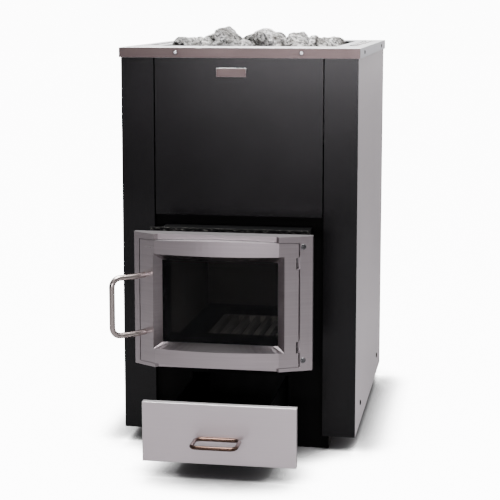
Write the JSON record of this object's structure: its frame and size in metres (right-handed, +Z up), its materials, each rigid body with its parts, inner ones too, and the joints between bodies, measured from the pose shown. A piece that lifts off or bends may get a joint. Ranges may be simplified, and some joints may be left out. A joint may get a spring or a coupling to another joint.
{
  "type": "sauna heater stove",
  "caption": "Upright wood-burning sauna heater: steel firebox in a black and stainless casing, stones on top, glazed door on a protruding neck, ash drawer below.",
  "frame": {"origin": "centre of the bounding box in plan, on the floor", "axes": "+Z up, +Y to the back of the heater, +X to its right as seen from the front"},
  "size_m": [0.4396, 0.8604, 0.7703],
  "materials": {
    "stainless": "satin",
    "black_paint": "satin",
    "boiler_steel": "matte",
    "cast_iron": "matte",
    "rod_steel": "polished",
    "zinc_steel": "satin",
    "fibre": "matte",
    "ceramic_glass": "gloss",
    "stone": "matte"
  },
  "bodies": {
    "heater": {"side_panel_left": "stainless", "side_panel_right": "stainless", "rear_panel": "stainless", "front_corner_left": "black_paint", "front_corner_right": "black_paint", "front_upper_panel": "black_paint", "badge_plate": "stainless", "top_collar": "stainless", "side_screw_left_front": "zinc_steel", "side_screw_left_rear": "zinc_steel", "side_screw_right_front": "zinc_steel", "side_screw_right_rear": "zinc_steel", "collar_screw_front_left": "zinc_steel", "collar_screw_front_right": "zinc_steel", "collar_screw_left_front": "zinc_steel", "collar_screw_left_rear": "zinc_steel", "collar_screw_right_front": "zinc_steel", "collar_screw_right_rear": "zinc_steel", "casing_rail_left": "zinc_steel", "casing_rail_right": "zinc_steel", "base_frame": "boiler_steel", "ash_floor": "boiler_steel", "inner_wrap": "boiler_steel", "firebox_front": "boiler_steel", "firebox_floor": "boiler_steel", "grate": "cast_iron", "firebox_roof": "boiler_steel", "baffle_plate": "boiler_steel", "firebox_neck": "boiler_steel", "neck_rope": "fibre", "smoke_channel": "boiler_steel", "flue_spigot": "boiler_steel", "stone_container": "boiler_steel", "stone_bed": "stone", "stone_1": "stone", "stone_2": "stone", "stone_3": "stone", "stone_4": "stone", "stone_5": "stone", "stone_6": "stone", "stone_7": "stone", "stone_8": "stone", "door_frame": "stainless", "hinge_pin_upper": "zinc_steel", "hinge_pin_lower": "zinc_steel", "frame_screw_upper": "zinc_steel", "frame_screw_lower": "zinc_steel", "catch_plunger": "zinc_steel"},
    "door": {"door_leaf": "stainless", "door_glass": "ceramic_glass", "glass_gasket": "fibre", "glass_rail_upper": "zinc_steel", "glass_rail_lower": "zinc_steel", "leaf_gasket": "fibre", "hinge_knuckle_upper": "boiler_steel", "hinge_knuckle_lower": "boiler_steel", "door_handle": "rod_steel"},
    "ash_drawer": {"drawer_front": "stainless", "drawer_box": "boiler_steel", "drawer_handle": "rod_steel"}
  },
  "joints": [
    {"name": "door_hinge", "type": "hinge", "parent": "heater", "child": "door", "pos_m": [0.125, -0.338, 0.307], "axis": [0, 0, 1], "range_deg": [0, 90]},
    {"name": "drawer_slide", "type": "slide", "parent": "heater", "child": "ash_drawer", "axis": [0, -1, 0], "range_m": [-0.185, 0.1]}
  ]
}
